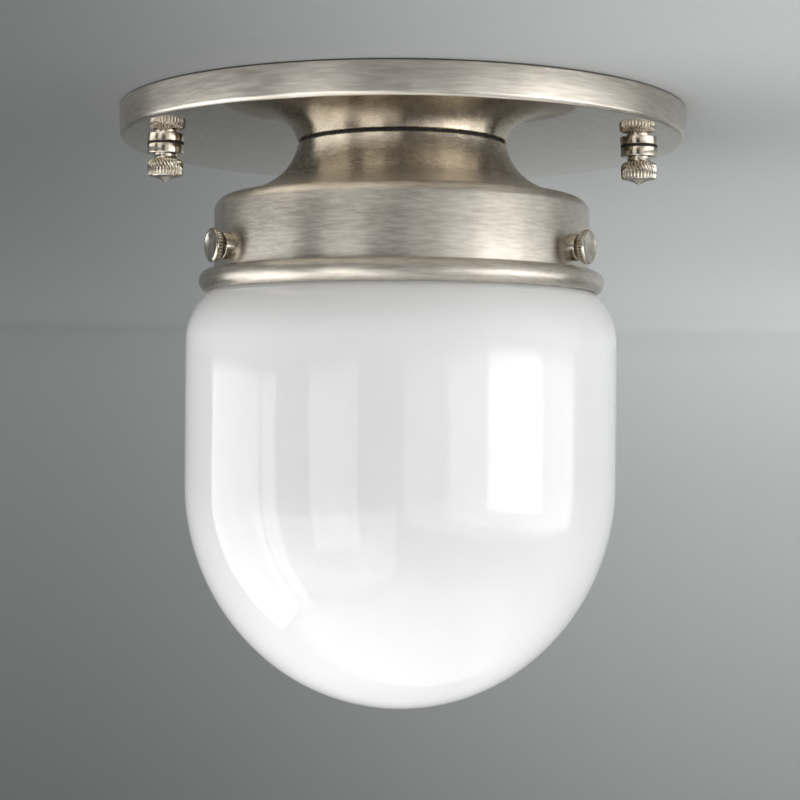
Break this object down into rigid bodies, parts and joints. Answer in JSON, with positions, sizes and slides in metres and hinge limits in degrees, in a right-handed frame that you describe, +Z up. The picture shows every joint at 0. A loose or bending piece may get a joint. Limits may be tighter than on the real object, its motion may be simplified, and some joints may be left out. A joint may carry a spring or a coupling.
{
  "type": "flush ceiling light",
  "caption": "Flush ceiling light: round metal canopy on a ceiling bar, coved shade holder with thumbscrews, and a domed opal glass shade over a bulb in a porcelain lampholder.",
  "frame": {"origin": "on the axis of the shade, in the plane of the ceiling", "axes": "+Z up into the ceiling, +X towards the right-hand cap nut, the picture's camera looks along +Y"},
  "size_m": [0.165, 0.165, 0.1745],
  "materials": {
    "satin_nickel": "satin nickel plate with a fine brushed grain",
    "polished_nickel": "bright nickel plate, knurled edges",
    "zinc_steel": "zinc plated steel",
    "green_screw": "green",
    "black_fibre": "matt black fibre",
    "brass": "plain brass",
    "porcelain": "glazed white porcelain, opaque",
    "black_wire": "black insulation",
    "white_wire": "white insulation",
    "copper": "bare copper",
    "opal_glass": "glossy white opal glass",
    "solder": "solder over the contact",
    "black_insulator": "black glass insulator",
    "bulb_metal": "rolled aluminium",
    "bulb_glass": "clear glass",
    "clear_glass": "clear glass",
    "filament_wire": "drawn wire"
  },
  "bodies": {
    "ceiling_bar": {"ceiling_bar": "zinc_steel", "mounting_studs": "zinc_steel", "stud_locknuts": "zinc_steel", "ground_screw": "green_screw"},
    "canopy_assembly": {"canopy": "satin_nickel", "holder_gasket": "black_fibre", "nut_washers": "black_fibre", "shade_holder": "satin_nickel", "screw_bosses": "polished_nickel", "nipple": "zinc_steel", "upper_lock_washer": "zinc_steel", "upper_locknut": "brass", "lower_lock_washer": "zinc_steel", "lower_locknut": "brass", "lampholder_cap": "brass", "cap_set_screw": "zinc_steel", "cap_screws": "zinc_steel", "porcelain_body": "porcelain", "screw_shell": "brass", "centre_contact": "brass", "terminal_screws": "brass", "black_lead": "black_wire", "white_lead": "white_wire", "lead_ends": "copper"},
    "left_nut": {"cap_nut_left": "polished_nickel"},
    "right_nut": {"cap_nut_right": "polished_nickel"},
    "rear_screw": {"screw_shank_rear": "polished_nickel"},
    "rear_screw_head": {"screw_head_rear": "polished_nickel"},
    "left_screw": {"screw_shank_left": "polished_nickel"},
    "left_screw_head": {"screw_head_left": "polished_nickel"},
    "right_screw": {"screw_shank_right": "polished_nickel"},
    "right_screw_head": {"screw_head_right": "polished_nickel"},
    "shade": {"shade": "opal_glass"},
    "bulb_carrier": {"bulb_contact": "solder"},
    "bulb": {"bulb_insulator": "black_insulator", "bulb_cap": "bulb_metal", "bulb_glass": "bulb_glass", "bulb_stem": "clear_glass", "filament": "filament_wire"}
  },
  "joints": [
    {"name": "canopy_drop", "type": "slide", "parent": "ceiling_bar", "child": "canopy_assembly", "axis": [0, 0, -1], "range_m": [0, 0.0055]},
    {"name": "left_nut_turn", "type": "hinge", "parent": "canopy_assembly", "child": "left_nut", "pos_m": [-0.07, 0, -0.0091], "axis": [0, 0, -1], "range_deg": [0, 2500]},
    {"name": "right_nut_turn", "type": "hinge", "parent": "canopy_assembly", "child": "right_nut", "pos_m": [0.07, 0, -0.0091], "axis": [0, 0, -1], "range_deg": [0, 2500]},
    {"name": "rear_screw_travel", "type": "slide", "parent": "canopy_assembly", "child": "rear_screw", "axis": [0.0175, 0.9998, 0], "range_m": [-0.00105, 0.0048]},
    {"name": "rear_screw_turn", "type": "hinge", "parent": "rear_screw", "child": "rear_screw_head", "pos_m": [0.00103, 0.05879, -0.0413], "axis": [0.0175, 0.9998, 0], "range_deg": [-480, 2180]},
    {"name": "left_screw_travel", "type": "slide", "parent": "canopy_assembly", "child": "left_screw", "axis": [-0.8746, -0.4848, 0], "range_m": [-0.00105, 0.0048]},
    {"name": "left_screw_turn", "type": "hinge", "parent": "left_screw", "child": "left_screw_head", "pos_m": [-0.05143, -0.02851, -0.0413], "axis": [-0.8746, -0.4848, 0], "range_deg": [-480, 2180]},
    {"name": "right_screw_travel", "type": "slide", "parent": "canopy_assembly", "child": "right_screw", "axis": [0.8572, -0.515, 0], "range_m": [-0.00105, 0.0048]},
    {"name": "right_screw_turn", "type": "hinge", "parent": "right_screw", "child": "right_screw_head", "pos_m": [0.0504, -0.03028, -0.0413], "axis": [0.8572, -0.515, 0], "range_deg": [-480, 2180]},
    {"name": "shade_drop", "type": "slide", "parent": "canopy_assembly", "child": "shade", "axis": [0, 0, -1], "range_m": [0, 0.13]},
    {"name": "bulb_travel", "type": "slide", "parent": "canopy_assembly", "child": "bulb_carrier", "axis": [0, 0, -1], "range_m": [0, 0.0219]},
    {"name": "bulb_turn", "type": "hinge", "parent": "bulb_carrier", "child": "bulb", "pos_m": [0, 0, -0.0364], "axis": [0, 0, -1], "range_deg": [0, 2180]}
  ],
  "couplings": [
    {"joint": "left_nut_turn", "follows": "canopy_drop", "rad_per_m": 7915.8},
    {"joint": "right_nut_turn", "follows": "canopy_drop", "rad_per_m": 7915.8},
    {"joint": "rear_screw_turn", "follows": "rear_screw_travel", "rad_per_m": 7915.8},
    {"joint": "left_screw_turn", "follows": "left_screw_travel", "rad_per_m": 7915.8},
    {"joint": "right_screw_turn", "follows": "right_screw_travel", "rad_per_m": 7915.8},
    {"joint": "bulb_turn", "follows": "bulb_travel", "rad_per_m": 1730.9}
  ]
}
